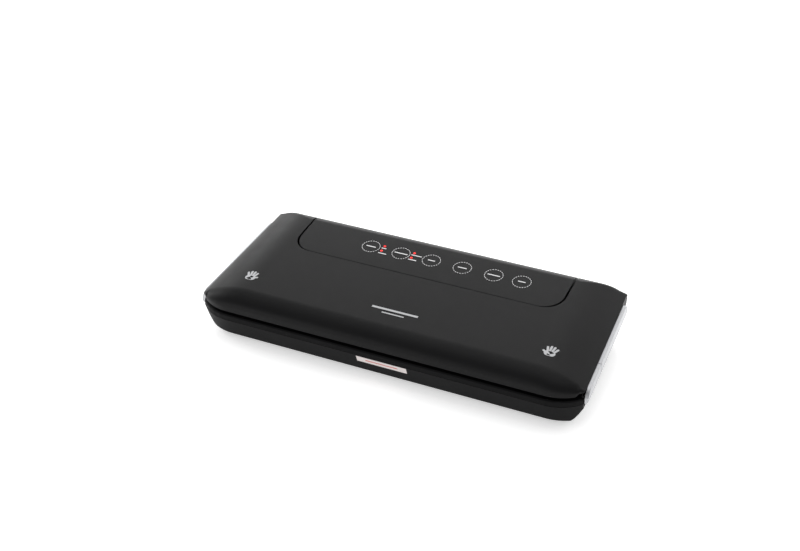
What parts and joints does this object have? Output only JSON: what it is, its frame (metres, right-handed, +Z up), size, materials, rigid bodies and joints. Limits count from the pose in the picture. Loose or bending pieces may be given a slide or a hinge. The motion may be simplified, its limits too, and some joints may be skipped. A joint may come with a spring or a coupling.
{
  "type": "vacuum sealer",
  "caption": "Countertop vacuum sealer with a hinged U-shaped lid, fixed touch panel, heat-seal bar, vacuum chamber and side release buttons.",
  "frame": {"origin": "middle of the footprint at table level", "axes": "+X along the machine to its right, +Y to the back, +Z up"},
  "size_m": [0.3868, 0.157, 0.0665],
  "materials": {
    "black_abs": "fine moulded matt",
    "soft_touch_black": "soft matt coating",
    "black_liner": "moulded matt",
    "satin_silver": "satin silver paint",
    "steel": "zinc plated",
    "iron": "stacked laminations",
    "copper": "enamelled winding",
    "foam": "closed-cell foam",
    "silicone": "satin silicone",
    "ptfe_cloth": "coated glass cloth",
    "black_rubber": "matt",
    "red_lens": "clear red",
    "board": "solder mask",
    "film": "polyimide film",
    "white_acetal": "moulded satin"
  },
  "bodies": {
    "base": {"base_shell": "black_abs", "sealing_deck": "black_abs", "drip_tray": "black_abs", "control_housing": "black_abs", "heater_bar": "black_liner", "suction_nozzle": "black_liner", "lid_switch": "black_liner", "pump_head": "black_liner", "side_trim_left": "satin_silver", "side_trim_right": "satin_silver", "heater_strip": "steel", "hinge_pin_left": "steel", "hinge_pin_right": "steel", "pump_motor": "steel", "vent_valve": "steel", "body_screw_1": "steel", "body_screw_2": "steel", "body_screw_3": "steel", "body_screw_4": "steel", "transformer_core": "iron", "transformer_coil": "copper", "lower_gasket": "foam", "ptfe_tape": "ptfe_cloth", "foot_1": "black_rubber", "foot_2": "black_rubber", "foot_3": "black_rubber", "foot_4": "black_rubber", "vacuum_hose": "black_rubber", "cord_inlet": "black_rubber", "indicator_1": "red_lens", "indicator_2": "red_lens", "indicator_3": "red_lens", "indicator_4": "red_lens", "control_board": "board", "power_board": "board", "touch_sensor": "film"},
    "lid": {"lid_shell": "soft_touch_black", "lid_liner": "black_liner", "upper_gasket": "foam", "pressure_strip": "silicone", "latch_hook_left": "black_liner", "latch_hook_right": "black_liner"},
    "release_left": {"release_button_left": "satin_silver", "latch_slider_left": "white_acetal", "latch_spring_left": "steel"},
    "release_right": {"release_button_right": "satin_silver", "latch_slider_right": "white_acetal", "latch_spring_right": "steel"},
    "switch_button": {"switch_plunger": "white_acetal"},
    "pump_drive": {"pump_crank": "steel"}
  },
  "joints": [
    {"name": "lid_hinge", "type": "hinge", "parent": "base", "child": "lid", "pos_m": [0, 0.0635, 0.0515], "axis": [-1, 0, 0], "range_deg": [0, 75]},
    {"name": "release_left_press", "type": "slide", "parent": "base", "child": "release_left", "axis": [1, 0, 0], "range_m": [0, 0.0025], "stiffness_N_per_m": 800, "springref_m": -0.002, "deforming": ["latch_spring_left"]},
    {"name": "release_right_press", "type": "slide", "parent": "base", "child": "release_right", "axis": [-1, 0, 0], "range_m": [0, 0.0025], "stiffness_N_per_m": 800, "springref_m": -0.002, "deforming": ["latch_spring_right"]},
    {"name": "switch_press", "type": "slide", "parent": "base", "child": "switch_button", "axis": [0, 0.1284, -0.9917], "range_m": [0, 0.0012], "stiffness_N_per_m": 300, "springref_m": -0.001},
    {"name": "pump_turn", "type": "hinge", "parent": "base", "child": "pump_drive", "pos_m": [-0.075, 0.0435, 0.024], "axis": [1, 0, 0], "continuous": true}
  ]
}
